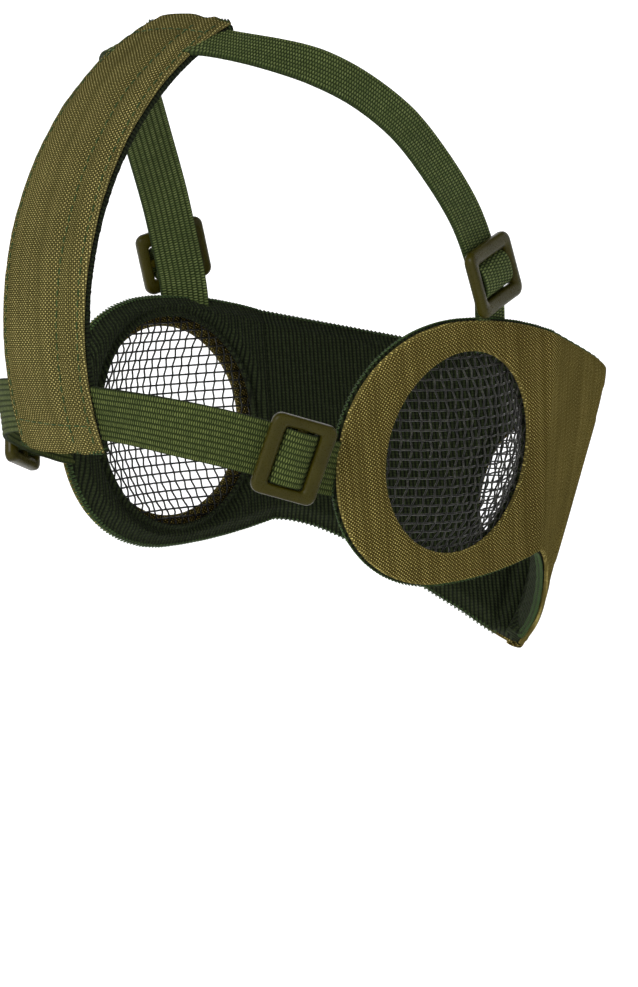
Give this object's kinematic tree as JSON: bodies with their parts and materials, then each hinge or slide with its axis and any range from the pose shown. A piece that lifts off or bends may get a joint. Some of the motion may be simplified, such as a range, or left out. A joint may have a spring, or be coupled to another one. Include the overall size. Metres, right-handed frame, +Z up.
{
  "type": "half face mask",
  "caption": "Olive fabric lower face mask with round domed wire ear windows, mouth vents, elastic webbing straps, tri-glide buckles and a curved padded band behind the head.",
  "frame": {"origin": "midway between the centres of the two ear windows, inside the wearer's head", "axes": "+Z up, the face looks along -Y, the wearer's right is -X, lengths in metres"},
  "size_m": [0.171, 0.2717, 0.2338],
  "materials": {
    "olive_fabric": "coarse plain weave, matt",
    "dark_lining": "ribbed knit, matt",
    "steel_wire": "dark coated woven wire",
    "green_webbing": "ribbed elastic webbing",
    "olive_plastic": "moulded, semi-gloss",
    "pad_foam": "soft foam"
  },
  "bodies": {
    "harness": {"pad_cover": "olive_fabric", "pad_foam": "pad_foam", "pad_lining": "dark_lining"},
    "right_ear": {"right_ear_cover": "olive_fabric", "right_ear_mesh": "steel_wire", "right_ear_lining": "dark_lining", "right_upper_strap": "green_webbing", "right_lower_strap": "green_webbing"},
    "right_cheek": {"right_cheek_cover": "olive_fabric", "right_cheek_mesh": "steel_wire", "right_cheek_lining": "dark_lining", "centre_seam": "olive_fabric"},
    "right_upper_triglide": {"right_upper_triglide": "olive_plastic", "right_upper_wrap": "green_webbing"},
    "right_lower_triglide": {"right_lower_triglide": "olive_plastic", "right_lower_wrap": "green_webbing"},
    "left_ear": {"left_ear_cover": "olive_fabric", "left_ear_mesh": "steel_wire", "left_ear_lining": "dark_lining", "left_upper_strap": "green_webbing", "left_lower_strap": "green_webbing"},
    "left_cheek": {"left_cheek_cover": "olive_fabric", "left_cheek_mesh": "steel_wire", "left_cheek_lining": "dark_lining"},
    "left_upper_triglide": {"left_upper_triglide": "olive_plastic", "left_upper_wrap": "green_webbing"},
    "left_lower_triglide": {"left_lower_triglide": "olive_plastic", "left_lower_wrap": "green_webbing"}
  },
  "joints": [
    {"name": "right_ear_closing", "type": "slide", "parent": "harness", "child": "right_ear", "axis": [1, 0, 0], "range_m": [-0.008, 0.034], "deforming": ["right_upper_strap", "right_lower_strap"]},
    {"name": "right_cheek_fold", "type": "hinge", "parent": "right_ear", "child": "right_cheek", "pos_m": [-0.07175, -0.046, 0], "axis": [0, -0.3304, 0.9439], "range_deg": [-20.6, 5]},
    {"name": "right_upper_triglide_slide", "type": "hinge", "parent": "right_ear", "child": "right_upper_triglide", "pos_m": [0.03945, 0.12843, 0.01096], "axis": [-0.7803, 0.6052, -0.1576], "range_deg": [0, 4.6]},
    {"name": "right_lower_triglide_slide", "type": "hinge", "parent": "right_ear", "child": "right_lower_triglide", "pos_m": [0.03916, 0.02802, -0.00883], "axis": [0.0138, 0.3097, -0.9507], "range_deg": [0, 7.5]},
    {"name": "left_ear_closing", "type": "slide", "parent": "harness", "child": "left_ear", "axis": [-1, 0, 0], "range_m": [-0.008, 0.034], "deforming": ["left_upper_strap", "left_lower_strap"]},
    {"name": "left_cheek_fold", "type": "hinge", "parent": "left_ear", "child": "left_cheek", "pos_m": [0.07175, -0.046, 0], "axis": [0, -0.3304, 0.9439], "range_deg": [-5, 20.6]},
    {"name": "left_upper_triglide_slide", "type": "hinge", "parent": "left_ear", "child": "left_upper_triglide", "pos_m": [-0.03945, 0.12843, 0.01096], "axis": [-0.7803, -0.6052, 0.1576], "range_deg": [0, 4.6]},
    {"name": "left_lower_triglide_slide", "type": "hinge", "parent": "left_ear", "child": "left_lower_triglide", "pos_m": [-0.03916, 0.02802, -0.00883], "axis": [0.0138, -0.3097, 0.9507], "range_deg": [0, 7.5]}
  ],
  "couplings": [
    {"joint": "left_ear_closing", "follows": "right_ear_closing", "ratio": 1},
    {"joint": "right_cheek_fold", "follows": "right_ear_closing", "rad_per_m": -10.5},
    {"joint": "left_cheek_fold", "follows": "right_ear_closing", "rad_per_m": 10.5}
  ]
}
